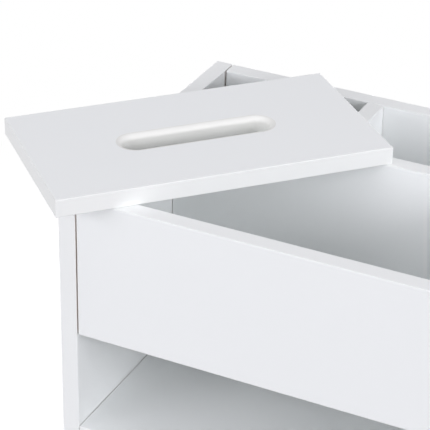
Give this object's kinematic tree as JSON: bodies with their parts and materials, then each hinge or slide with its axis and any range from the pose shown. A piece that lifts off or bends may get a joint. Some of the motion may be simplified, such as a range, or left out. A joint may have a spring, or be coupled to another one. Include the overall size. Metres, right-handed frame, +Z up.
{
  "type": "rolling storage cart",
  "caption": "White board storage cart on swivel casters, with open shelves, a divided top tray and a loose slotted tissue lid lying askew on its rim.",
  "frame": {"origin": "on the floor, under the middle of the cabinet", "axes": "+X to the right as seen from the front, +Y to the rear, +Z up"},
  "size_m": [0.4507, 0.3354, 0.656],
  "materials": {
    "white_board": "white melamine board, satin",
    "edge_band": "white band, satin",
    "beech": "raw beech",
    "zinc_casting": "die-cast zinc, matt",
    "plated_steel": "zinc plated",
    "washer_nylon": "natural nylon",
    "hub_plastic": "grey moulding",
    "tread_rubber": "dark soft tread",
    "pedal_plastic": "black moulding"
  },
  "bodies": {
    "cabinet": {"left_side": "white_board", "right_side": "white_board", "front_apron": "white_board", "rear_apron": "white_board", "bin_partition": "white_board", "rear_divider": "white_board", "tray_floor": "white_board", "upper_shelf": "white_board", "lower_shelf": "white_board", "base_board": "white_board", "rear_sheet_panel": "white_board", "lid_cleat_left": "white_board", "lid_cleat_right": "white_board", "edge_bands": "edge_band", "wood_dowels": "beech", "cam_locks": "zinc_casting", "cam_bolts": "plated_steel", "cleat_screws": "plated_steel", "caster_screws": "plated_steel", "caster_plate_front_left": "plated_steel", "king_pin_front_left": "plated_steel", "thrust_washer_front_left": "washer_nylon", "caster_plate_front_right": "plated_steel", "king_pin_front_right": "plated_steel", "thrust_washer_front_right": "washer_nylon", "caster_plate_rear_left": "plated_steel", "king_pin_rear_left": "plated_steel", "thrust_washer_rear_left": "washer_nylon", "caster_plate_rear_right": "plated_steel", "king_pin_rear_right": "plated_steel", "thrust_washer_rear_right": "washer_nylon"},
    "lid": {"tissue_lid": "white_board", "lid_edge_bands": "edge_band"},
    "swivel_front_left": {"fork_front_left": "plated_steel", "axle_front_left": "plated_steel", "brake_pin_front_left": "plated_steel"},
    "wheel_front_left": {"wheel_hub_front_left": "hub_plastic", "wheel_tread_front_left": "tread_rubber"},
    "brake_front_left": {"brake_lever_front_left": "pedal_plastic"},
    "swivel_front_right": {"fork_front_right": "plated_steel", "axle_front_right": "plated_steel", "brake_pin_front_right": "plated_steel"},
    "wheel_front_right": {"wheel_hub_front_right": "hub_plastic", "wheel_tread_front_right": "tread_rubber"},
    "brake_front_right": {"brake_lever_front_right": "pedal_plastic"},
    "swivel_rear_left": {"fork_rear_left": "plated_steel", "axle_rear_left": "plated_steel"},
    "wheel_rear_left": {"wheel_hub_rear_left": "hub_plastic", "wheel_tread_rear_left": "tread_rubber"},
    "swivel_rear_right": {"fork_rear_right": "plated_steel", "axle_rear_right": "plated_steel"},
    "wheel_rear_right": {"wheel_hub_rear_right": "hub_plastic", "wheel_tread_rear_right": "tread_rubber"}
  },
  "joints": [
    {"name": "lid_lift", "type": "slide", "parent": "cabinet", "child": "lid", "axis": [0, 0, 1], "range_m": [0, 0.2]},
    {"name": "caster_swivel_front_left", "type": "hinge", "parent": "cabinet", "child": "swivel_front_left", "pos_m": [-0.1315, -0.104, 0.058], "axis": [0, 0, 1], "continuous": true},
    {"name": "wheel_spin_front_left", "type": "hinge", "parent": "swivel_front_left", "child": "wheel_front_left", "pos_m": [-0.1315, -0.121, 0.02], "axis": [1, 0, 0], "continuous": true},
    {"name": "brake_press_front_left", "type": "hinge", "parent": "swivel_front_left", "child": "brake_front_left", "pos_m": [-0.1315, -0.135, 0.04349], "axis": [1, 0, 0], "range_deg": [0, 18]},
    {"name": "caster_swivel_front_right", "type": "hinge", "parent": "cabinet", "child": "swivel_front_right", "pos_m": [0.1315, -0.104, 0.058], "axis": [0, 0, 1], "continuous": true},
    {"name": "wheel_spin_front_right", "type": "hinge", "parent": "swivel_front_right", "child": "wheel_front_right", "pos_m": [0.1315, -0.121, 0.02], "axis": [1, 0, 0], "continuous": true},
    {"name": "brake_press_front_right", "type": "hinge", "parent": "swivel_front_right", "child": "brake_front_right", "pos_m": [0.1315, -0.135, 0.04349], "axis": [1, 0, 0], "range_deg": [0, 18]},
    {"name": "caster_swivel_rear_left", "type": "hinge", "parent": "cabinet", "child": "swivel_rear_left", "pos_m": [-0.1315, 0.104, 0.058], "axis": [0, 0, 1], "continuous": true},
    {"name": "wheel_spin_rear_left", "type": "hinge", "parent": "swivel_rear_left", "child": "wheel_rear_left", "pos_m": [-0.1315, 0.087, 0.02], "axis": [1, 0, 0], "continuous": true},
    {"name": "caster_swivel_rear_right", "type": "hinge", "parent": "cabinet", "child": "swivel_rear_right", "pos_m": [0.1315, 0.104, 0.058], "axis": [0, 0, 1], "continuous": true},
    {"name": "wheel_spin_rear_right", "type": "hinge", "parent": "swivel_rear_right", "child": "wheel_rear_right", "pos_m": [0.1315, 0.087, 0.02], "axis": [1, 0, 0], "continuous": true}
  ]
}
